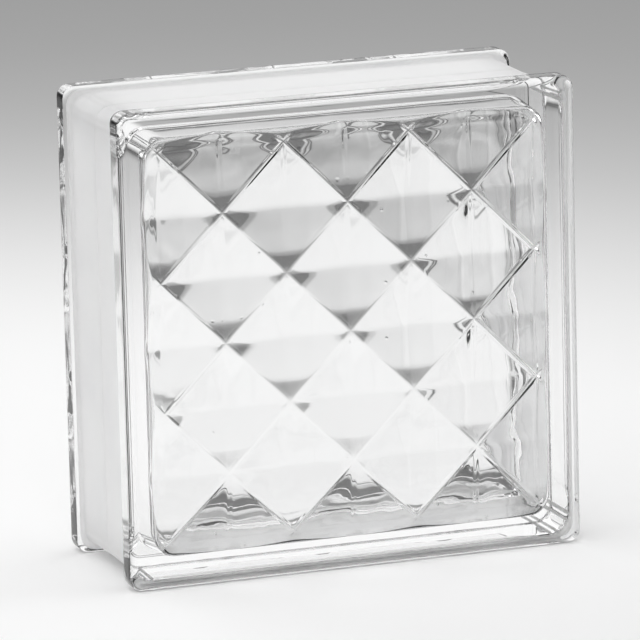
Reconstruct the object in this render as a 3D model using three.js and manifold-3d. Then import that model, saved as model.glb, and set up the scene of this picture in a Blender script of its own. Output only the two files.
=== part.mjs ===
// Hollow glass block of 190 x 190 x 80 mm with a diamond relief.
//
// The block is two identical pressed glass dishes fused mouth to mouth.  Each dish has a flat
// outer face, a flange round its edge that meets the mortar joint, a recessed side wall that
// makes one half of the mortar channel, and a relief of low pyramids pressed into the inner
// side of its pane.  Units are millimetres, +Z is up, the faces look along -Y and +Y, and the
// origin is the middle of the bed face that the block stands on.

import * as THREE from "three";
import { mergeVertices } from "three/addons/utils/BufferGeometryUtils.js";
import Module from "manifold-3d";

// ---------------------------------------------------------------- driving dimensions

const BLOCK_WIDTH = 190;         // X, over the flanges
const BLOCK_HEIGHT = 190;        // Z, over the flanges
const BLOCK_DEPTH = 80;          // Y, outer face to outer face

const FLANGE_THICKNESS = 11;     // outer face to the step down into the mortar channel
const FLANGE_CORNER = 5;         // radius of the four corners, seen from the front
const FACE_ROUNDING = 3;         // edge between the outer face and the flange rim
const HEEL_ROUNDING = 1.2;       // edge between the flange rim and the step

const CHANNEL_STEP = 3;          // how far the side wall lies in from the flange rim
const CHANNEL_FILLET = 1.8;      // root of the step
const CHANNEL_TAPER = 0.3;       // the wall leans in by this much from the step to the weld
const CHANNEL_CORNER = 8;        // corner radius of the side wall at the step
const WELD_ROUNDING = 0.6;       // softened outer lip, which leaves the fine line of the weld

const PANE_THICKNESS = 7;        // outer face to the valleys of the relief
const WALL_THICKNESS = 7;        // side wall at the weld
const WALL_DRAFT = 1.2;          // the cavity narrows by this much from the weld to the pane
const CAVITY_CORNER = 9;         // corner radius of the cavity
const CAVITY_FILLET = 5;         // between the side wall and the pane

const RELIEF_CELLS = 3;          // pattern cells along each side
const RELIEF_PITCH = 52;         // side of one cell
const RELIEF_HEIGHT = 4;         // valleys to pyramid tips
const RELIEF_ROOT = 0.2;         // the pane carries on this far under the valleys

// Fineness of the facets.
const CORNER_DIVISIONS = 4;      // half the number of facets in a corner
const PROFILE_DIVISIONS = 2;     // half the number of facets in a rounding or fillet

// ---------------------------------------------------------------- derived places

const HALF_DEPTH = BLOCK_DEPTH / 2;
const CHANNEL_INSET = CHANNEL_STEP + CHANNEL_TAPER;
const CAVITY_MOUTH_INSET = CHANNEL_INSET + WALL_THICKNESS;
const CAVITY_FLOOR_INSET = CAVITY_MOUTH_INSET + WALL_DRAFT;
const CAVITY_FLOOR = PANE_THICKNESS - RELIEF_ROOT;

// ---------------------------------------------------------------- shapes

// The block's outline, drawn in by an inset on every side, as a shape in the X-Z plane.
function blockOutline(inset, cornerRadius) {
  const x = BLOCK_WIDTH / 2 - inset;
  const z = BLOCK_HEIGHT / 2 - inset;
  const r = cornerRadius;
  const outline = new THREE.Shape();
  outline.moveTo(x, -z + r);
  outline.lineTo(x, z - r);
  outline.absarc(x - r, z - r, r, 0, Math.PI / 2, false);
  outline.lineTo(-x + r, z);
  outline.absarc(-x + r, z - r, r, Math.PI / 2, Math.PI, false);
  outline.lineTo(-x, -z + r);
  outline.absarc(-x + r, -z + r, r, Math.PI, 1.5 * Math.PI, false);
  outline.lineTo(x - r, -z);
  outline.absarc(x - r, -z + r, r, 1.5 * Math.PI, 2 * Math.PI, false);
  return outline;
}

// A closed body lofted through block outlines.  Each station holds an inset, a depth behind the
// outer face and a corner radius, and the stations run from the outer face towards the weld.
function loft(stations) {
  const rings = stations.map(({ inset, depth, corner }) => {
    const points = blockOutline(inset, corner).getPoints(CORNER_DIVISIONS);
    points.pop();
    return points.map((p) => new THREE.Vector3(p.x, depth - HALF_DEPTH, p.y));
  });
  const count = rings[0].length;
  const index = [];
  for (let ring = 0; ring + 1 < rings.length; ring += 1) {
    for (let i = 0; i < count; i += 1) {
      const a = ring * count + i;
      const b = ring * count + ((i + 1) % count);
      index.push(a, a + count, b);
      index.push(b, a + count, b + count);
    }
  }
  const flat = rings[0].map((p) => new THREE.Vector2(p.x, p.z));
  const last = (rings.length - 1) * count;
  for (const [a, b, c] of THREE.ShapeUtils.triangulateShape(flat, [])) {
    index.push(a, b, c);
    index.push(last + a, last + c, last + b);
  }
  const geometry = new THREE.BufferGeometry().setFromPoints(rings.flat());
  geometry.setIndex(index);
  return geometry;
}

// Side of one dish from its outer face, over the flange and down the step, to the weld.
function dishStations() {
  const face = new THREE.Path();
  face.absarc(FACE_ROUNDING, FACE_ROUNDING, FACE_ROUNDING, 1.5 * Math.PI, Math.PI, true);

  const step = new THREE.Path();
  const heel = FLANGE_THICKNESS - HEEL_ROUNDING;
  const root = FLANGE_THICKNESS + CHANNEL_FILLET;
  step.absarc(HEEL_ROUNDING, heel, HEEL_ROUNDING, Math.PI, Math.PI / 2, true);
  step.absarc(
    CHANNEL_STEP - CHANNEL_FILLET, root, CHANNEL_FILLET, 1.5 * Math.PI, 2 * Math.PI, false,
  );

  const weld = new THREE.Path();
  const lip = HALF_DEPTH - WELD_ROUNDING;
  weld.absarc(
    CHANNEL_INSET + WELD_ROUNDING, lip, WELD_ROUNDING, Math.PI, Math.PI / 2, true,
  );

  const swell = (CHANNEL_CORNER - FLANGE_CORNER) / CHANNEL_STEP;
  const faceStations = face.getPoints(PROFILE_DIVISIONS).map((p) => (
    { inset: p.x, depth: p.y, corner: FLANGE_CORNER - p.x }
  ));
  const stepStations = step.getPoints(PROFILE_DIVISIONS).map((p) => (
    { inset: p.x, depth: p.y, corner: FLANGE_CORNER + swell * p.x }
  ));
  const weldStations = weld.getPoints(PROFILE_DIVISIONS).map((p) => (
    { inset: p.x, depth: p.y, corner: CHANNEL_CORNER }
  ));
  return [...faceStations, ...stepStations, ...weldStations];
}

// The cavity of one dish, from the pane's floor up its fillet and drafted wall, and on past
// the weld so that the cut leaves the mouth open.
function cavityStations() {
  const fillet = new THREE.Path();
  fillet.absarc(
    CAVITY_FLOOR_INSET + CAVITY_FILLET, CAVITY_FLOOR + CAVITY_FILLET, CAVITY_FILLET,
    1.5 * Math.PI, Math.PI, true,
  );
  const stations = fillet.getPoints(2 * PROFILE_DIVISIONS).map((p) => (
    { inset: p.x, depth: p.y, corner: CAVITY_CORNER - (p.x - CAVITY_FLOOR_INSET) }
  ));
  const wallRise = HALF_DEPTH - CAVITY_FLOOR - CAVITY_FILLET;
  const overshoot = 1;
  stations.push({
    inset: CAVITY_MOUTH_INSET - (WALL_DRAFT * overshoot) / wallRise,
    depth: HALF_DEPTH + overshoot,
    corner: CAVITY_CORNER,
  });
  return stations;
}

// One low square pyramid of the relief, on its corner, with its tip towards the cavity.  Its
// base is carried down into the pane, so neighbours meet exactly in the valleys.
function reliefPyramid(x, z) {
  const root = 2 * RELIEF_ROOT;
  const height = RELIEF_HEIGHT + root;
  const halfDiagonal = ((RELIEF_PITCH / 2) * height) / RELIEF_HEIGHT;
  const pyramid = new THREE.ConeGeometry(halfDiagonal, height, 4);
  pyramid.translate(x, PANE_THICKNESS - HALF_DEPTH - root + height / 2, z);
  return pyramid;
}

// ---------------------------------------------------------------- solids

const wasm = await Module();
wasm.setup();

function toSolid(geometry) {
  const bare = geometry.clone();
  bare.deleteAttribute("normal");
  bare.deleteAttribute("uv");
  const merged = mergeVertices(bare, 1e-4);
  return new wasm.Manifold(new wasm.Mesh({
    numProp: 3,
    vertProperties: new Float32Array(merged.attributes.position.array),
    triVerts: new Uint32Array(merged.index.array),
  }));
}

function toGeometry(solid) {
  const { vertProperties, triVerts } = solid.getMesh();
  const geometry = new THREE.BufferGeometry();
  geometry.setAttribute("position", new THREE.BufferAttribute(vertProperties, 3));
  geometry.setIndex(new THREE.BufferAttribute(triVerts, 1));
  return geometry;
}

// The void of one dish is its cavity less the pyramids, which stand at the middle of every
// side of every cell.
function dish() {
  let hollow = toSolid(loft(cavityStations()));
  const halfPitch = RELIEF_PITCH / 2;
  for (let column = -RELIEF_CELLS; column <= RELIEF_CELLS; column += 1) {
    for (let row = -RELIEF_CELLS; row <= RELIEF_CELLS; row += 1) {
      const onCellSide = (column + row) % 2 !== 0;
      if (onCellSide) {
        hollow = hollow.subtract(toSolid(reliefPyramid(column * halfPitch, row * halfPitch)));
      }
    }
  }
  return toGeometry(toSolid(loft(dishStations())).subtract(hollow));
}

// ---------------------------------------------------------------- scene graph

function clearGlass() {
  return new THREE.MeshStandardMaterial({
    color: 0xe9eff0,
    roughness: 0.04,
    metalness: 0,
    transparent: true,
    opacity: 0.35,
  });
}

const pressedDish = dish();

const frontHalf = new THREE.Mesh(pressedDish, clearGlass());
frontHalf.name = "front_half";

const backHalf = new THREE.Mesh(pressedDish, clearGlass());
backHalf.name = "back_half";
backHalf.rotation.z = Math.PI;

const block = new THREE.Group();
block.add(frontHalf, backHalf);
block.position.z = BLOCK_HEIGHT / 2;

export default block;
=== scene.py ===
"""Looks of a hollow pressed glass block: the fused glass body with its coated mortar channel,
and a pale studio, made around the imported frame.  Lengths are in metres and +Z is up."""

import math

import bpy
import numpy as np
from bpy.props import FloatProperty, FloatVectorProperty, IntProperty, PointerProperty
from mathutils import Matrix, Vector


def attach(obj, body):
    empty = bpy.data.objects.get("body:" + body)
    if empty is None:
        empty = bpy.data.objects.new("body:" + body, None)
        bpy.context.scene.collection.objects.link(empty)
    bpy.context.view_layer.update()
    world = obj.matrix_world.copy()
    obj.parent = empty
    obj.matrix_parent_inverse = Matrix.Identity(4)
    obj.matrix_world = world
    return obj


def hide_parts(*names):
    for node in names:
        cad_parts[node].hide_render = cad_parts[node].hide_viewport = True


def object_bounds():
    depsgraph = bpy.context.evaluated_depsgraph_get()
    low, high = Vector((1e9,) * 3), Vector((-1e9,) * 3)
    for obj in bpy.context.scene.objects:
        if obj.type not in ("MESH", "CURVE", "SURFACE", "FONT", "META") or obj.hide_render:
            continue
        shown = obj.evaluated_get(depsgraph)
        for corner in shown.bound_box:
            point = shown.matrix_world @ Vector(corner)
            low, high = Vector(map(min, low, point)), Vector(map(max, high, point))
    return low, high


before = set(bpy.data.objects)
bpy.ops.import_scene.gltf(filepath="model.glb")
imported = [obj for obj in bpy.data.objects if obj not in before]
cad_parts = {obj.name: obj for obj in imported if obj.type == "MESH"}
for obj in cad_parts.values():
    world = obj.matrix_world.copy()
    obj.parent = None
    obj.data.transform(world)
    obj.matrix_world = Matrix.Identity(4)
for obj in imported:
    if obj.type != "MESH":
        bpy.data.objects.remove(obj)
CAD_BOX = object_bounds()
BLOCK_SIZE = CAD_BOX[1] - CAD_BOX[0]

bl_info = {
    "name": "Glass Block",
    "version": (1, 0, 0),
    "blender": (4, 5, 0),
    "location": "View3D > Sidebar > Glass Block",
    "description": "Finish of a hollow glass block with a diamond relief, in a pale studio",
    "category": "Object",
}

BODY = "root"
HALVES = ("front_half", "back_half")

# Points of a profile that lie closer than this are one point, in metres.
SAME_POINT = 1e-7

# Steps along each stretch of the outer profile, from the face to the weld.
FACE_STEPS = 8
RIM_STEPS = 3
HEEL_STEPS = 5
ROOT_STEPS = 5
WALL_STEPS = 7
LIP_STEPS = 3

# A last ring of the flat face lies in from its rounding by this share of the rounding.
FLAT_MARGIN = 0.125

# Steps round the fillet between the cavity wall and the pane.
FILLET_STEPS = 12

# Rings of the cavity wall, as shares of the way from that fillet to the weld, and how far the
# bead on the weld spreads, as a share of the same way.
WALL_SHARES = (0.2, 0.4, 0.6, 0.75, 0.85, 0.92, 0.96, 0.985, 1.0)
BEAD_SPREAD = 0.05

# Twist of the chill waves, and the noise levels between which a patch of haze fades in.
WAVE_TWIST = 0.6
HAZE_PATCH = (0.6, 0.8)

# Noise levels between which a cloud in the coating turns thin, and turns dull.
THIN_CLOUD = (0.45, 0.8)
DULL_CLOUD = (0.3, 0.7)
CLOUD_TWIST = 0.3

# Noise levels between which the floor's mottle goes from its darkest share to full.
FLOOR_MOTTLE = (0.3, 0.7, 0.99, 1.0)
FLOOR_ROUGHNESS = 0.9
FLOOR_SIDES = 96

# The light from behind grows from the first to the second of these sines of the turn to +Y.
BACKDROP_REACH = (0.5, 0.9)

# Bounces that light may take on its way through the panes, the walls and the channel.
GLASS_BOUNCES = 20

# Width of the camera's sensor, in millimetres.
SENSOR_WIDTH = 36.0


# ------------------------------------------------------------------ sizes and colours


def length(name, description, default):
    """A length property in metres."""
    return FloatProperty(
        name=name, description=description, default=default, unit="LENGTH", precision=5
    )


def factor(name, description, default, highest=1.0):
    """A plain number property from zero up."""
    return FloatProperty(
        name=name, description=description, default=default, min=0.0, max=highest, precision=3
    )


def colour(name, description, default):
    """A colour property."""
    return FloatVectorProperty(
        name=name, description=description, default=default, subtype="COLOR",
        size=3, min=0.0, max=1.0,
    )


def angle(name, description, degrees):
    """An angle property, whose default is given in degrees."""
    return FloatProperty(
        name=name, description=description, default=math.radians(degrees), unit="ROTATION"
    )


def power(name, description, watts):
    """A lamp's power."""
    return FloatProperty(name=name, description=description, default=watts, unit="POWER")


def per_metre(name, description, default):
    """How many features of a pattern lie along a metre."""
    return FloatProperty(name=name, description=description, default=default, min=0.0)


class BlockSizes(bpy.types.PropertyGroup):
    """Sizes of the glass body"""

    width: length("Width", "Over the flanges, along X", BLOCK_SIZE.x)
    depth: length("Depth", "Outer face to outer face, along Y", BLOCK_SIZE.y)
    height: length("Height", "Over the flanges, along Z", BLOCK_SIZE.z)
    flange_thickness: length("Flange", "Outer face to the step into the channel", 0.011)
    flange_corner: length("Flange corner", "Corner radius seen from the front", 0.005)
    face_rounding: length("Face rounding", "Edge between face and flange rim", 0.003)
    heel_rounding: length("Heel rounding", "Edge between flange rim and step", 0.0012)
    channel_step: length("Channel step", "Depth of the mortar channel", 0.003)
    channel_fillet: length("Channel fillet", "Root of the step", 0.0018)
    channel_taper: length("Channel taper", "How far the wall leans in to the weld", 0.0003)
    channel_corner: length("Channel corner", "Corner radius of the side wall", 0.008)
    weld_rounding: length("Weld rounding", "Softened lip that leaves the weld line", 0.0006)
    pane_thickness: length("Pane", "Outer face to the valleys of the relief", 0.007)
    wall_thickness: length("Wall", "Side wall at the weld", 0.007)
    wall_draft: length("Wall draft", "How far the cavity narrows to the pane", 0.0012)
    cavity_corner: length("Cavity corner", "Corner radius of the cavity", 0.009)
    cavity_fillet: length("Cavity fillet", "Between side wall and pane", 0.0035)
    weld_bead: length("Weld bead", "Glass squeezed into the cavity along the weld", 0.0006)
    relief_pitch: length("Relief pitch", "Side of one pattern cell", 0.052)
    relief_height: length("Relief height", "Valleys to pyramid tips", 0.004)
    relief_softness: length("Relief softness", "Rounding of ridges and valleys", 0.001)
    relief_crown: factor("Relief crown", "How much steeper the facets are at a valley", 0.1)
    fillet_blend: length("Fillet blend", "Where the relief runs into the fillet", 0.0006)
    relief_cells: IntProperty(name="Cells", description="Cells along each side", default=3)
    cell_steps: IntProperty(name="Steps", description="Mesh steps along a cell", default=40)


class GlassFinish(bpy.types.PropertyGroup):
    """Finish of the pressed glass"""

    tint: colour("Tint", "Colour of the glass", (0.998, 0.999, 0.999))
    ior: factor("IOR", "Index of refraction", 1.52, 3.0)
    haze: factor("Haze", "Roughness of the hazy patches on the skin", 0.03)
    chill_scale: per_metre("Chill scale", "Chill waves in a metre", 60.0)
    chill_height: length("Chill height", "Height of the waves in the middle of the relief", 0.00013)
    edge_height: length("Edge waves", "Height of the waves on the outermost facets", 0.0008)
    wall_height: length("Wall waves", "Height of the waves on the rims and walls", 0.00003)
    draw_scale: per_metre("Drawn lines", "Lines in a metre, across them", 330.0)
    draw_stretch: factor("Stretch", "How much slower they change along themselves", 0.07)
    draw_height: length("Line height", "Height of the lines round the outer rims", 0.00004)
    draw_inside: factor("Lines on walls", "Share of that height on the walls", 0.08)
    polish_height: length("Polish height", "Height of the waves on the outer side", 0.000012)
    seam_width: length("Seam width", "Half width of the seam in each valley", 0.0015)
    seam_height: length("Seam height", "Height of the seam at the edge of the pane", 0.0006)
    seam_middle: factor("Seam in the middle", "Share of that height in the middle", 0.15)
    seam_fresh: factor("Seam where fresh", "Share of it in the die's less worn corner", 0.35)
    seam_ridge: factor("Seam on ridges", "Share of it along the upright ridges", 0.4)
    seed_scale: per_metre("Seeds", "Seed cells in a metre", 55.0)
    seed_share: factor("Seed share", "Share of the cells that hold a seed", 0.2)
    seed_size: length("Seed size", "Radius of a seed", 0.0009)
    seed_height: length("Seed height", "Height of the blister over a seed", 0.00014)


class CoatingFinish(bpy.types.PropertyGroup):
    """Finish of the coating that keys the channel to the mortar"""

    colour: colour("Colour", "Colour of the coating", (0.985, 0.985, 0.985))
    gap: length("Gap", "Air left between the glass and the coating", 0.00004)
    thickness: length("Thickness", "Thickness of the coating", 0.00016)
    thin_colour: colour("Thin colour", "Where the coating is thin", (0.955, 0.955, 0.96))
    translucence: factor("Translucence", "Share of the light that goes through", 0.5)
    cloud_scale: per_metre("Clouds", "Cloudy patches in a metre", 38.0)
    roughness: factor("Roughness", "Roughness where the coating is full", 0.55)
    dull_roughness: factor("Dull roughness", "Roughness in the cloudy patches", 0.8)
    grain_scale: per_metre("Grain scale", "Grains in a metre", 900.0)
    grain: length("Grain", "Height of the grain", 0.00003)


class StudioSettings(bpy.types.PropertyGroup):
    """Floor, light and camera"""

    # The floor's colour holds a painted pool of light round the block and painted shade further out;
    # the next nine settings shape it.
    painted_pool_level: factor("Floor", "Level of the floor's colour around the block", 0.95)
    painted_far_level: factor("Far floor", "Level of the floor's colour far away", 0.38)
    floor_half: length("Fading", "Distance at which the floor is halfway", 0.68)
    floor_power: factor("Fading power", "How suddenly the floor fades", 4.0, 8.0)
    painted_pool_x: length("Pool, X", "Middle of the pale part of the floor, along X", -0.15)
    painted_pool_y: length("Pool, Y", "Middle of the pale part of the floor, along Y", 0.15)
    painted_dim_start: length("Dim from", "Where the floor starts to grow dim", 1.25)
    painted_dim_end: length("Dim at", "Where it is at its dimmest", 2.4)
    painted_dim_share: factor("Dim share", "Share of its level left there", 0.55)
    floor_radius: length("Floor radius", "Radius of the floor", 14.0)
    mottle_scale: per_metre("Mottle", "Patches of the floor's mottle in a metre", 4.0)
    sky_level: factor("Sky", "Level of the light from above", 0.87, 4.0)
    horizon_level: factor("Horizon", "Level of the light at the horizon", 0.04, 4.0)
    horizon_band: factor("Band", "Height of the darker band, as a sine", 0.35)
    horizon_tilt: factor("Tilt", "How much lower the band is behind the block", 0.17)
    backdrop_light: factor("Backdrop", "How much stronger the light is from behind", 1.15, 4.0)
    front_power: power("Front lamp", "Power of the high lamp in front", 0.6)
    back_power: power("Back lamp", "Power of the high lamp behind", 0.8)
    left_power: power("Left lamp", "Power of the low lamp at the left", 0.55)
    right_power: power("Right lamp", "Power of the low lamp at the right", 0.8)
    view_azimuth: angle("Azimuth", "Camera's turn from the front", -19.7)
    view_elevation: angle("Elevation", "Camera's height over the horizon", 12.26)
    view_roll: angle("Roll", "Camera's turn about its own axis", -1.45)
    view_distance: length("Distance", "Camera to its aim", 2.481)
    view_height: length("Aim height", "Height of the camera's aim", 0.0925)
    view_lens: FloatProperty(
        name="Lens", description="Focal length on a 36 mm sensor", default=350.1, unit="CAMERA"
    )


# ------------------------------------------------------------------ surfaces


def square_ring(side_steps):
    """Points round the square with half side 1, anticlockwise seen from the front, as an
    array of (4 * side_steps, 2) values.  Each side runs from one corner to just short of the
    next in equal steps."""
    s = np.linspace(-1.0, 1.0, side_steps, endpoint=False)
    one = np.ones_like(s)
    sides = ((one, s), (-s, one), (-one, -s), (s, -one))
    return np.concatenate([np.stack(side, axis=1) for side in sides])


def rounded_ring(ring, half_width, half_height, radius):
    """Carries the square ring onto a rounded rectangle.  A point of the ring is scaled to the
    rectangle, and where it lies in a corner's square it is moved along the line from the
    corner's centre until it is one radius from that centre."""
    point = ring * np.array([half_width, half_height])
    centre = np.array([half_width, half_height]) - radius
    beyond = np.abs(point) - centre
    in_corner = (beyond > 0).all(axis=1)
    reach = np.linalg.norm(beyond, axis=1)
    pulled = np.sign(point) * (centre + beyond * (radius / np.maximum(reach, 1e-12))[:, None])
    return np.where(in_corner[:, None], pulled, point)


def arc(centre, radius, start, end, steps):
    """Points on an arc in the (inset, depth) plane, from one angle to another in degrees: the
    centre plus the radius times the angle's cosine and sine."""
    turn = np.radians(np.linspace(start, end, steps + 1))
    return np.stack([centre[0] + radius * np.cos(turn), centre[1] + radius * np.sin(turn)], axis=1)


def relief(x, z, s):
    """Height of the relief over its valleys.  The valleys are two families of parallel lines
    at 45 degrees, one pitch apart along X, and the height above a point is the smaller of its
    distances to the nearest line of each family, times the relief's height and over half a
    pitch, so each square between four valleys is a pyramid.  Both distances are softened near
    zero and the smaller one is taken softly, which rounds the valleys and the ridges."""
    half, soft = s.relief_pitch / 2, s.relief_softness

    def to_valley(t):
        away = np.abs(np.mod(t + half, s.relief_pitch) - half)
        return np.sqrt(away**2 + soft**2) - soft

    rising, falling = to_valley(x + z), to_valley(x - z)
    spread = np.sqrt((rising - falling) ** 2 + soft**2)
    climb = (rising + falling - spread) / 2 / half
    return s.relief_height * climb * (1 + s.relief_crown * (1 - climb))


def fillet_height(to_wall, radius):
    """Height of a quarter-round fillet at a distance in from the wall that it meets."""
    inward = np.clip(radius - to_wall, 0.0, radius)
    return radius - np.sqrt(radius**2 - inward**2)


def pane_rise(x, z, to_wall, s):
    """The larger of the relief's height and the fillet's, blended near the wall: half their
    sum and half the root of their difference and the blend, both squared.  The blend fades out
    from one fillet radius to two from the wall.  Past the edge of the pattern the relief keeps
    the height that it has there."""
    blend = s.fillet_blend * np.clip(2.0 - to_wall / s.cavity_fillet, 0.0, 1.0)
    edge = s.relief_cells * s.relief_pitch / 2
    a = relief(np.clip(x, -edge, edge), np.clip(z, -edge, edge), s)
    b = fillet_height(to_wall, s.cavity_fillet)
    return (a + b + np.sqrt((a - b) ** 2 + blend**2)) / 2


def outer_profile(s):
    """Half profile of the outer surface as (inset, depth, corner radius) rows, from the flat
    of the outer face, round the flange rim and down the step, to the weld.  The corner radius
    shrinks with the inset round the face, and grows with it down the step.  A row at the place
    of the one before is left out, as where the heel runs straight into the fillet."""
    inset = s.channel_step + s.channel_taper
    face = arc((s.face_rounding, s.face_rounding), s.face_rounding, 270, 180, FACE_STEPS)
    flat = face[:1] + [s.face_rounding * FLAT_MARGIN, 0.0]
    heel = s.flange_thickness - s.heel_rounding
    down_rim = np.linspace(s.face_rounding, heel, RIM_STEPS + 1)[1:-1]
    rim = np.column_stack([np.zeros_like(down_rim), down_rim])
    step = arc((s.heel_rounding, heel), s.heel_rounding, 180, 90, HEEL_STEPS)
    root = (s.channel_step - s.channel_fillet, s.flange_thickness + s.channel_fillet)
    fillet = arc(root, s.channel_fillet, 270, 360, ROOT_STEPS)
    mouth = (inset + s.weld_rounding, s.depth / 2 - s.weld_rounding)
    lip = arc(mouth, s.weld_rounding, 180, 90, LIP_STEPS)
    share = np.linspace(0, 1, WALL_STEPS + 1)[1:-1, None]
    wall = fillet[-1:] * (1 - share) + lip[:1] * share
    rows = np.concatenate([flat, face, rim, step, fillet, wall, lip])
    apart = np.linalg.norm(np.diff(rows, axis=0), axis=1) > SAME_POINT
    rows = rows[np.insert(apart, 0, True)]
    grown = np.interp(rows[:, 0], [0.0, s.channel_step], [s.flange_corner, s.channel_corner])
    on_face = rows[:, 1] <= s.face_rounding
    return np.column_stack([rows, np.where(on_face, s.flange_corner - rows[:, 0], grown)])


def wall_profile(s):
    """Half profile of the cavity wall as (inset, depth, corner radius) rows, from above the
    fillet to the weld.  The inset is the wall's thickness behind the channel, and shrinks by
    the draft on the way.  The bead on the weld adds its height times a bell curve, one over e
    to the square of the share of the way that is left, over the bead's spread."""
    mouth = s.channel_step + s.channel_taper + s.wall_thickness
    low, high = s.pane_thickness + s.cavity_fillet, s.depth / 2
    share = np.array(WALL_SHARES)
    bead = s.weld_bead * np.exp(-(((1 - share) / BEAD_SPREAD) ** 2))
    inset = mouth + s.wall_draft * (1 - share) + bead
    return np.column_stack(
        [inset, low + share * (high - low), np.full_like(share, s.cavity_corner)]
    )


def pane_surface(s):
    """Inner surface of one pane, as depths behind the outer face: over a square grid as wide
    as the pattern, and over rings from its edge out to the wall, which lie at equal turns of
    the fillet.  The depth is the pane's thickness plus its rise."""
    cells = s.relief_cells * s.cell_steps
    edge = s.relief_cells * s.relief_pitch / 2
    line = np.linspace(-edge, edge, cells + 1)
    x, z = np.meshgrid(line, line, indexing="ij")
    inset = s.channel_step + s.channel_taper + s.wall_thickness + s.wall_draft
    half = np.array([s.width, s.height]) / 2 - inset
    to_wall = np.minimum(half[0] - np.abs(x), half[1] - np.abs(z))
    grid = np.stack([x, s.pane_thickness + pane_rise(x, z, to_wall, s), z], axis=-1)

    ring = square_ring(cells)
    border = half[0] - edge
    turn = np.linspace(0, np.pi / 2, FILLET_STEPS + 1)[1:]
    rows = []
    for away in np.minimum(s.cavity_fillet * (1 - np.sin(turn)), border):
        corner = max(s.cavity_corner * (1 - away / border), SAME_POINT)
        p = rounded_ring(ring, half[0] - away, half[1] - away, corner)
        rise = pane_rise(p[:, 0], p[:, 1], np.full(len(ring), away), s)
        rows.append(np.stack([p[:, 0], s.pane_thickness + rise, p[:, 1]], axis=-1))
    return grid, np.array(rows)


def swept(profile, ring, s):
    """Rings of a profile swept round the block: each row's inset and corner radius give a
    rounded rectangle at that row's depth."""
    rows = []
    for inset, depth, corner in profile:
        p = rounded_ring(ring, s.width / 2 - inset, s.height / 2 - inset, corner)
        rows.append(np.stack([p[:, 0], np.full(len(p), depth), p[:, 1]], axis=-1))
    return np.array(rows)


def mirrored(points, s):
    """The same surface in the back half: each depth is taken from the back face."""
    return points * [1, -1, 1] + [0, s.depth, 0]


# ------------------------------------------------------------------ meshes


def ring_bands(rows, first, count, outward, closed=False):
    """Quads between neighbouring rings of a stack, each ring closed on itself, and where the
    stack is closed between its last and its first ring too."""
    row = np.arange(rows if closed else rows - 1)[:, None]
    after = (row + 1) % rows
    here = np.arange(count)[None, :]
    beside = (here + 1) % count
    corners = [row * count + here, row * count + beside, after * count + beside, after * count + here]
    quads = first + np.stack(corners, axis=-1).reshape(-1, 4)
    return quads[:, ::-1] if outward else quads


def relief_triangles(cells, half_cell, first, flipped):
    """Triangles over the grid of one pane.  Each quad is cut along the diagonal that its
    valley follows, which rises where the quad's half cell is even and falls where it is odd,
    so the valleys run along edges."""
    n = cells + 1
    i, j = np.meshgrid(np.arange(cells), np.arange(cells), indexing="ij")
    a = first + i * n + j
    b, c, d = a + n, a + n + 1, a + 1
    centre = cells // 2
    odd = ((np.floor_divide(i - centre, half_cell) + np.floor_divide(j - centre, half_cell)) % 2)
    rising = np.stack([a, b, c, a, c, d], axis=-1)
    falling = np.stack([a, b, d, b, c, d], axis=-1)
    triangles = np.where(odd[..., None] == 0, rising, falling).reshape(-1, 3)
    return triangles[:, ::-1] if flipped else triangles


def ring_on_grid(cells):
    """Indices of the grid's edge points in the order of square_ring."""
    n, k = cells + 1, np.arange(cells)
    sides = (cells * n + k, (cells - k) * n + cells, cells - k, k * n)
    return np.concatenate(sides)


def skirt(inner, outer, flipped):
    """Quads between two rings of points that are given by index."""
    quads = np.stack([inner, np.roll(inner, -1), np.roll(outer, -1), outer], axis=-1)
    return quads[:, ::-1] if flipped else quads


def placed(points, s):
    """Points given from the front face and from the middle of the block, at their place."""
    return points.reshape(-1, 3) + [0, -s.depth / 2, s.height / 2]


def channel_coat(s, coating):
    """The thin coat that lines the channel: the channel's profile from one heel, over both
    fillets and the weld, to the other heel, moved out of the glass by the gap, and again by
    the gap and the thickness, and the two closed into one band round the block."""
    half = outer_profile(s)
    half = half[half[:, 1] > s.flange_thickness - SAME_POINT]
    other = half[::-1][1:] * [1, -1, 1] + [0, s.depth, 0]
    profile = np.concatenate([half, other])
    along = np.gradient(profile[:, :2], axis=0)
    away = np.column_stack([-along[:, 1], along[:, 0]])
    away = away / np.linalg.norm(away, axis=1)[:, None]

    def lifted(by):
        return profile + np.column_stack([away * by, np.zeros(len(away))])

    loop = np.concatenate([lifted(coating.gap), lifted(coating.gap + coating.thickness)[::-1]])
    ring = square_ring(s.relief_cells * s.cell_steps // 2)
    faces = ring_bands(len(loop), 0, len(ring), outward=False, closed=True)
    return placed(swept(loop, ring, s), s), faces.tolist()


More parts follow.
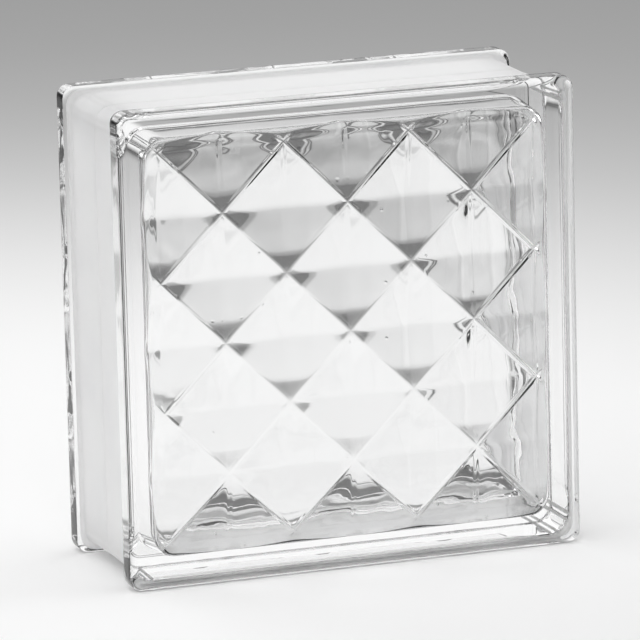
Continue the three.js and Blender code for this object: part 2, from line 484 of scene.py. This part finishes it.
def fused_glass(s):
    """The whole glass body: one closed outer surface and one sealed cavity inside it.  Each
    flat outer face is one polygon, in the plane of the ring beside it, so it stays flat under
    smooth shading."""
    cells = s.relief_cells * s.cell_steps
    ring = square_ring(cells)
    count = len(ring)
    round_ring = np.arange(count)

    outer = swept(outer_profile(s), ring, s)
    shell = np.concatenate([outer, mirrored(outer, s)[::-1][1:]])
    surfaces = [shell.reshape(-1, 3)]
    faces = [ring_bands(len(shell), 0, count, outward=True)]
    caps = [round_ring, (len(shell) - 1) * count + round_ring[::-1]]

    grid, rows = pane_surface(s)
    walls = np.concatenate([rows, swept(wall_profile(s), ring, s)])
    cavity = np.concatenate([walls, mirrored(walls, s)[::-1][1:]])
    first = len(surfaces[0])
    surfaces.append(cavity.reshape(-1, 3))
    faces.append(ring_bands(len(cavity), first, count, outward=False))
    front_ring = first + round_ring
    back_ring = front_ring + (len(cavity) - 1) * count

    panes = ((grid, front_ring, False), (mirrored(grid, s), back_ring, True))
    for points, wall_ring, is_back in panes:
        first = sum(len(surface) for surface in surfaces)
        surfaces.append(points.reshape(-1, 3))
        faces.append(relief_triangles(cells, s.cell_steps // 2, first, flipped=not is_back))
        faces.append(skirt(first + ring_on_grid(cells), wall_ring, flipped=is_back))

    polygons = [face for group in faces for face in group.tolist()]
    polygons += [cap.tolist() for cap in caps]
    return placed(np.concatenate(surfaces), s), polygons


def mesh_object(name, vertices, polygons):
    """A smooth-shaded mesh object."""
    mesh = bpy.data.meshes.new(name)
    mesh.from_pydata(vertices.tolist(), [], polygons)
    mesh.polygons.foreach_set("use_smooth", np.ones(len(polygons), dtype=bool))
    mesh.update()
    obj = bpy.data.objects.new(name, mesh)
    bpy.context.scene.collection.objects.link(obj)
    return obj


# ------------------------------------------------------------------ materials


class Tree:
    """A node tree with short calls for the nodes used here."""

    def __init__(self, tree):
        self.tree = tree

    def add(self, kind, **settings):
        """A node with its settings."""
        node = self.tree.nodes.new("ShaderNode" + kind)
        for key, value in settings.items():
            setattr(node, key, value)
        return node

    def feed(self, socket, source):
        """Sets a socket to a number or colour, or links it to an output."""
        if isinstance(source, bpy.types.NodeSocket):
            self.tree.links.new(source, socket)
        else:
            socket.default_value = source

    def math(self, operation, *sources):
        """A Math node's output."""
        node = self.add("Math", operation=operation)
        for socket, source in zip(node.inputs, sources):
            self.feed(socket, source)
        return node.outputs[0]

    def ramp(self, value, low, high, start, end, kind="SMOOTHSTEP"):
        """A value taken from low..high to start..end, and held beyond them."""
        node = self.add("MapRange", interpolation_type=kind)
        for name, source in (
            ("Value", value), ("From Min", low), ("From Max", high),
            ("To Min", start), ("To Max", end),
        ):
            self.feed(node.inputs[name], source)
        return node.outputs["Result"]

    def noise(self, vector, scale, detail, distortion=0.0):
        """A noise texture's value."""
        node = self.add("TexNoise")
        self.feed(node.inputs["Vector"], vector)
        self.feed(node.inputs["Scale"], scale)
        self.feed(node.inputs["Detail"], detail)
        self.feed(node.inputs["Distortion"], distortion)
        return node.outputs["Fac"]

    def bump(self, height, distance, under=None):
        """A bump's normal, over another one if given."""
        node = self.add("Bump")
        self.feed(node.inputs["Strength"], 1.0)
        self.feed(node.inputs["Distance"], distance)
        self.feed(node.inputs["Height"], height)
        if under is not None:
            self.feed(node.inputs["Normal"], under)
        return node.outputs["Normal"]


def new_material(name):
    """A material, its tree and its Principled shader."""
    material = bpy.data.materials.new(name)
    material.use_nodes = True
    return material, Tree(material.node_tree), material.node_tree.nodes["Principled BSDF"]


def valley_seam_group():
    """Node group with the seam left along each valley and upright ridge of the relief.  Its
    height is a cosine hump, one at the valley and zero a seam's width away; the valleys are
    where X plus Z, or X less Z, is a whole number of pitches from the middle of the block, and
    the upright ridges are where X is a whole number of half pitches, with a share of that
    height."""
    group = bpy.data.node_groups.new("valley_seam", "ShaderNodeTree")
    for name, kind in (
        ("Vector", "NodeSocketVector"), ("Pitch", "NodeSocketFloat"),
        ("Width", "NodeSocketFloat"), ("Middle", "NodeSocketFloat"),
        ("Ridge", "NodeSocketFloat"),
    ):
        group.interface.new_socket(name, in_out="INPUT", socket_type=kind)
    group.interface.new_socket("Height", in_out="OUTPUT", socket_type="NodeSocketFloat")
    tree = Tree(group)
    given = group.nodes.new("NodeGroupInput")
    result = group.nodes.new("NodeGroupOutput")
    split = tree.add("SeparateXYZ")
    tree.feed(split.inputs[0], given.outputs["Vector"])
    x = split.outputs["X"]
    z = tree.math("SUBTRACT", split.outputs["Z"], given.outputs["Middle"])
    pitch, width = given.outputs["Pitch"], given.outputs["Width"]
    humps = []
    for across, apart, slant in (
        (tree.math("ADD", x, z), 2.0, math.sqrt(0.5)),
        (tree.math("SUBTRACT", x, z), 2.0, math.sqrt(0.5)),
        (x, 4.0, 1.0),
    ):
        away = tree.math("PINGPONG", across, tree.math("DIVIDE", pitch, apart))
        beside = tree.math("MULTIPLY", away, slant)
        share = tree.math("MINIMUM", tree.math("DIVIDE", beside, width), 1.0)
        wave = tree.math("COSINE", tree.math("MULTIPLY", share, math.pi))
        humps.append(tree.math("MULTIPLY_ADD", wave, 0.5, 0.5))
    valleys = tree.math("MAXIMUM", humps[0], humps[1])
    ridges = tree.math("MULTIPLY", humps[2], given.outputs["Ridge"])
    tree.feed(result.inputs["Height"], tree.math("MAXIMUM", valleys, ridges))
    return group


def glass_material(finish, s):
    """Clear pressed glass.  The pressed inner side has chill waves, a seam in each valley and
    a few seeds, the rims and walls have fine drawn lines, the fire-polished outer side has
    fainter waves, and a thin uneven haze lies over all."""
    material, tree, shader = new_material("clear_pressed_glass")
    where = tree.add("TexCoord").outputs["Object"]
    split = tree.add("SeparateXYZ")
    tree.feed(split.inputs[0], where)
    half = s.depth / 2
    from_middle = tree.math("ABSOLUTE", split.outputs["Y"])
    up = tree.math("SUBTRACT", split.outputs["Z"], s.height / 2)
    from_axis = tree.math(
        "MAXIMUM", tree.math("ABSOLUTE", split.outputs["X"]), tree.math("ABSOLUTE", up)
    )
    pattern_half = s.relief_cells * s.relief_pitch / 2

    run = tree.add("CombineXYZ")
    tree.feed(run.inputs["X"], from_axis)
    tree.feed(run.inputs["Y"], split.outputs["Y"])
    along = tree.math("ADD", split.outputs["X"], up)
    tree.feed(run.inputs["Z"], tree.math("MULTIPLY", along, finish.draw_stretch))
    lines = tree.noise(run.outputs[0], finish.draw_scale, 1.0)

    outward = tree.ramp(from_axis, pattern_half / 2, pattern_half, 0.0, 1.0)
    on_edge = tree.ramp(from_axis, pattern_half, pattern_half + s.cavity_fillet, 0.0, 1.0)
    on_face = tree.math("GREATER_THAN", from_middle, half - s.face_rounding / 10)
    on_facets = tree.ramp(outward, 0.5, 1.0, finish.chill_height, finish.edge_height)
    pressed = tree.ramp(on_edge, 0.0, 1.0, on_facets, finish.wall_height, "LINEAR")
    wave_height = tree.ramp(on_face, 0.0, 1.0, pressed, finish.polish_height, "LINEAR")
    waves = tree.noise(where, finish.chill_scale, 1.0, WAVE_TWIST)
    rim = s.width / 2
    outside = tree.ramp(
        from_axis, rim - s.channel_step, rim - s.channel_step / 3, finish.draw_inside, 1.0
    )
    pressed_edge = tree.math("MULTIPLY", on_edge, tree.math("SUBTRACT", outside, on_face))
    line_height = tree.math("MULTIPLY", pressed_edge, finish.draw_height)
    swell = tree.math(
        "MULTIPLY_ADD", lines, line_height, tree.math("MULTIPLY", waves, wave_height)
    )

    seam = tree.add("Group", node_tree=valley_seam_group())
    tree.feed(seam.inputs["Vector"], where)
    tree.feed(seam.inputs["Pitch"], s.relief_pitch)
    tree.feed(seam.inputs["Width"], finish.seam_width)
    tree.feed(seam.inputs["Middle"], s.height / 2)
    tree.feed(seam.inputs["Ridge"], finish.seam_ridge)
    relief_top = half - s.pane_thickness - s.relief_height
    near_pane = tree.math("GREATER_THAN", from_middle, relief_top)
    off_rim = tree.math("LESS_THAN", from_middle, half - s.pane_thickness / 2)
    on_relief = tree.math("MULTIPLY", near_pane, off_rim)
    seam_height = tree.ramp(
        outward, 0.0, 1.0, finish.seam_height * finish.seam_middle, finish.seam_height, "LINEAR"
    )
    worn = tree.ramp(along, -pattern_half, pattern_half, finish.seam_fresh, 1.0)
    on_seams = tree.math("MULTIPLY", on_relief, tree.math("SUBTRACT", 1.0, on_edge))
    seam_height = tree.math("MULTIPLY", tree.math("MULTIPLY", seam_height, worn), on_seams)
    height = tree.math("MULTIPLY_ADD", seam.outputs["Height"], seam_height, swell)

    seeds = tree.add("TexVoronoi", voronoi_dimensions="2D")
    over_pane = tree.add("CombineXYZ")
    tree.feed(over_pane.inputs["X"], tree.math("ADD", split.outputs["X"], split.outputs["Y"]))
    tree.feed(over_pane.inputs["Y"], split.outputs["Z"])
    tree.feed(seeds.inputs["Vector"], over_pane.outputs[0])
    tree.feed(seeds.inputs["Scale"], finish.seed_scale)
    reach = tree.math("DIVIDE", seeds.outputs["Distance"], finish.seed_size * finish.seed_scale)
    dome = tree.ramp(reach, 0.0, 1.0, finish.seed_height, 0.0)
    chance = tree.add("SeparateColor")
    tree.feed(chance.inputs[0], seeds.outputs["Color"])
    holds_seed = tree.math("LESS_THAN", chance.outputs["Red"], finish.seed_share)
    blister = tree.math("MULTIPLY", dome, tree.math("MULTIPLY", holds_seed, on_seams))
    height = tree.math("ADD", height, blister)
    tree.feed(shader.inputs["Normal"], tree.bump(height, 1.0))

    haze = tree.noise(where, finish.chill_scale, 1.0)
    tree.feed(shader.inputs["Roughness"], tree.ramp(haze, *HAZE_PATCH, 0.0, finish.haze))
    shader.inputs["Base Color"].default_value = (*finish.tint, 1.0)
    shader.inputs["IOR"].default_value = finish.ior
    shader.inputs["Transmission Weight"].default_value = 1.0
    return material


def coating_material(finish):
    """Pale coating baked onto the channel, which scatters light back and through.  It is
    thinner and duller in cloudy patches and has a fine grain."""
    material, tree, shader = new_material("channel_coating")
    where = tree.add("TexCoord").outputs["Object"]
    cloud = tree.noise(where, finish.cloud_scale, 4.0, CLOUD_TWIST)
    mix = tree.add("Mix", data_type="RGBA")
    tree.feed(mix.inputs["Factor"], tree.ramp(cloud, *THIN_CLOUD, 0.0, 1.0))
    mix.inputs["A"].default_value = (*finish.colour, 1.0)
    mix.inputs["B"].default_value = (*finish.thin_colour, 1.0)
    pale = mix.outputs["Result"]
    dull = tree.ramp(cloud, *DULL_CLOUD, finish.roughness, finish.dull_roughness)
    grain = tree.noise(where, finish.grain_scale, 2.0)
    tree.feed(shader.inputs["Base Color"], pale)
    tree.feed(shader.inputs["Roughness"], dull)
    tree.feed(shader.inputs["Normal"], tree.bump(grain, finish.grain))
    through = tree.add("BsdfTranslucent")
    tree.feed(through.inputs["Color"], pale)
    both = tree.add("MixShader")
    both.inputs["Fac"].default_value = finish.translucence
    tree.feed(both.inputs[1], shader.outputs[0])
    tree.feed(both.inputs[2], through.outputs[0])
    output = material.node_tree.nodes["Material Output"]
    tree.feed(output.inputs["Surface"], both.outputs[0])
    return material


def floor_material(studio):
    """Matt floor with a pool of light painted into its colour round the block, fading into painted
    shade further out, and with the faint mottle of a painted board.  The pool's share is one over
    one plus the distance, over the halfway distance, to a power, and painted shade dims the whole
    further out."""
    material, tree, shader = new_material("floor_painted_light_pool")
    where = tree.add("TexCoord").outputs["Object"]
    # Painted light: a pool of light painted into the floor's colour, palest at its middle and fading
    # with distance.
    away = tree.add("VectorMath", operation="DISTANCE")
    tree.feed(away.inputs[0], where)
    tree.feed(away.inputs[1], (studio.painted_pool_x, studio.painted_pool_y, 0.0))
    far_out = tree.math("DIVIDE", away.outputs["Value"], studio.floor_half)
    fading = tree.math("ADD", tree.math("POWER", far_out, studio.floor_power), 1.0)
    level = tree.math(
        "MULTIPLY_ADD", tree.math("DIVIDE", 1.0, fading),
        studio.painted_pool_level - studio.painted_far_level, studio.painted_far_level,
    )
    # Painted shade: the floor's colour grows darker still beyond the pool.
    beyond = tree.ramp(
        away.outputs["Value"], studio.painted_dim_start, studio.painted_dim_end, 1.0, studio.painted_dim_share
    )
    mottle = tree.ramp(tree.noise(where, studio.mottle_scale, 3.0), *FLOOR_MOTTLE, "LINEAR")
    shade = tree.math("MULTIPLY", level, beyond)
    tree.feed(shader.inputs["Base Color"], tree.math("MULTIPLY", shade, mottle))
    shader.inputs["Roughness"].default_value = FLOOR_ROUGHNESS
    shader.inputs["Specular IOR Level"].default_value = 0.0
    return material


# ------------------------------------------------------------------ studio


def make_floor(studio):
    """A flat round floor under the block."""
    turn = np.linspace(0, 2 * np.pi, FLOOR_SIDES, endpoint=False)
    rim = studio.floor_radius * np.stack([np.cos(turn), np.sin(turn), 0 * turn], axis=1)
    floor = mesh_object("studio_floor", rim, [list(range(len(rim)))])
    floor.data.materials.append(floor_material(studio))


def make_world(studio):
    """Soft light from above all round, over a darker band at the horizon.  It is stronger
    behind the block, as from a lit backdrop."""
    world = bpy.data.worlds.new("studio_light")
    bpy.context.scene.world = world
    world.use_nodes = True
    tree = Tree(world.node_tree)
    split = tree.add("SeparateXYZ")
    tree.feed(split.inputs[0], tree.add("TexCoord").outputs["Generated"])
    tilted = tree.math(
        "MULTIPLY_ADD", split.outputs["Y"], studio.horizon_tilt, split.outputs["Z"]
    )
    up = tree.ramp(
        tilted, studio.horizon_band / 3, studio.horizon_band,
        studio.horizon_level, studio.sky_level,
    )
    lit = tree.ramp(split.outputs["Y"], *BACKDROP_REACH, 1.0, studio.backdrop_light)
    background = world.node_tree.nodes["Background"]
    tree.feed(background.inputs["Color"], tree.math("MULTIPLY", up, lit))
    background.inputs["Strength"].default_value = 1.0


def clear_light_paths():
    """Keeps the light that comes through several layers of glass: it isn't blurred behind
    them, and it may take more bounces."""
    cycles = bpy.context.scene.cycles
    cycles.blur_glossy = 0.0
    cycles.max_bounces = GLASS_BOUNCES
    cycles.transmission_bounces = GLASS_BOUNCES


def area_lamp(name, place, aim, size, watts, spread):
    """A square soft lamp aimed at a point, with a grid that narrows its light to a spread in
    degrees."""
    data = bpy.data.lights.new(name, "AREA")
    data.shape = "SQUARE"
    data.size = size
    data.energy = watts
    data.spread = math.radians(spread)
    lamp = bpy.data.objects.new(name, data)
    beam = Vector(aim) - Vector(place)
    lamp.rotation_euler = beam.to_track_quat("-Z", "Y").to_euler()
    lamp.location = place
    bpy.context.scene.collection.objects.link(lamp)


def make_lamps(studio):
    """Two high lamps in front and behind, which shine in through the panes, and two low ones
    at the sides, which light the coated channel."""
    area_lamp(
        "front_softbox", place=(-0.4, -1.1, 1.25), aim=(0, 0, 0.05),
        size=0.9, watts=studio.front_power, spread=90,
    )
    area_lamp(
        "back_softbox", place=(-0.4, 1.1, 1.25), aim=(-0.1, 0.05, 0.05),
        size=0.9, watts=studio.back_power, spread=90,
    )
    area_lamp(
        "left_softbox", place=(-1.7, -0.3, 0.6), aim=(0, 0, 0.1),
        size=0.8, watts=studio.left_power, spread=60,
    )
    area_lamp(
        "right_softbox", place=(1.7, -0.1, 0.6), aim=(0, 0, 0.1),
        size=0.8, watts=studio.right_power, spread=60,
    )


def make_camera(studio):
    """A long lens to the left of the front and a little above, slightly rolled."""
    azimuth, elevation = studio.view_azimuth, studio.view_elevation
    back = Vector((
        math.sin(azimuth) * math.cos(elevation),
        -math.cos(azimuth) * math.cos(elevation),
        math.sin(elevation),
    ))
    data = bpy.data.cameras.new("camera")
    data.sensor_width = SENSOR_WIDTH
    data.lens = studio.view_lens
    camera = bpy.data.objects.new("camera", data)
    aimed = (-back).to_track_quat("-Z", "Y").to_matrix().to_4x4()
    centre = Vector((0.0, 0.0, studio.view_height)) + back * studio.view_distance
    camera.matrix_world = (
        Matrix.Translation(centre) @ aimed @ Matrix.Rotation(studio.view_roll, 4, "Z")
    )
    bpy.context.scene.collection.objects.link(camera)
    bpy.context.scene.camera = camera


# ------------------------------------------------------------------ operators


class GLASSBLOCK_OT_body(bpy.types.Operator):
    """Make the fused glass body, which stands for both halves"""

    bl_idname = "glassblock.body"
    bl_label = "Glass body"

    def execute(self, context):
        sizes = context.scene.block_sizes
        body = mesh_object("glass_body", *fused_glass(sizes))
        body.data.materials.append(glass_material(context.scene.glass_finish, sizes))
        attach(body, BODY)
        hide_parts(*HALVES)
        return {"FINISHED"}


class GLASSBLOCK_OT_coating(bpy.types.Operator):
    """Make the pale coating that lines the mortar channel"""

    bl_idname = "glassblock.coating"
    bl_label = "Channel coating"

    def execute(self, context):
        coating = context.scene.coating_finish
        coat = mesh_object("channel_coating", *channel_coat(context.scene.block_sizes, coating))
        coat.data.materials.append(coating_material(coating))
        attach(coat, BODY)
        return {"FINISHED"}


class GLASSBLOCK_OT_stage(bpy.types.Operator):
    """Make the floor, the light and the camera"""

    bl_idname = "glassblock.stage"
    bl_label = "Studio"

    def execute(self, context):
        studio = context.scene.studio_settings
        make_floor(studio)
        make_world(studio)
        clear_light_paths()
        make_lamps(studio)
        make_camera(studio)
        return {"FINISHED"}


class GLASSBLOCK_PT_panel(bpy.types.Panel):
    """The block's operators"""

    bl_label = "Glass Block"
    bl_space_type = "VIEW_3D"
    bl_region_type = "UI"
    bl_category = "Glass Block"

    def draw(self, context):
        for operator in (GLASSBLOCK_OT_body, GLASSBLOCK_OT_coating, GLASSBLOCK_OT_stage):
            self.layout.operator(operator.bl_idname)


SETTINGS = {
    "block_sizes": BlockSizes,
    "glass_finish": GlassFinish,
    "coating_finish": CoatingFinish,
    "studio_settings": StudioSettings,
}
OPERATORS = (GLASSBLOCK_OT_body, GLASSBLOCK_OT_coating, GLASSBLOCK_OT_stage)
CLASSES = (*SETTINGS.values(), *OPERATORS, GLASSBLOCK_PT_panel)


def register():
    """Adds the classes and the scene's settings."""
    for item in CLASSES:
        bpy.utils.register_class(item)
    for name, group in SETTINGS.items():
        setattr(bpy.types.Scene, name, PointerProperty(type=group))


def unregister():
    """Removes them again."""
    for name in SETTINGS:
        delattr(bpy.types.Scene, name)
    for item in reversed(CLASSES):
        bpy.utils.unregister_class(item)


def main():
    """Makes everything in order."""
    register()
    bpy.context.scene.view_settings.view_transform = "Standard"
    bpy.ops.glassblock.body()
    bpy.ops.glassblock.coating()
    bpy.ops.glassblock.stage()


if __name__ == "__main__":
    main()
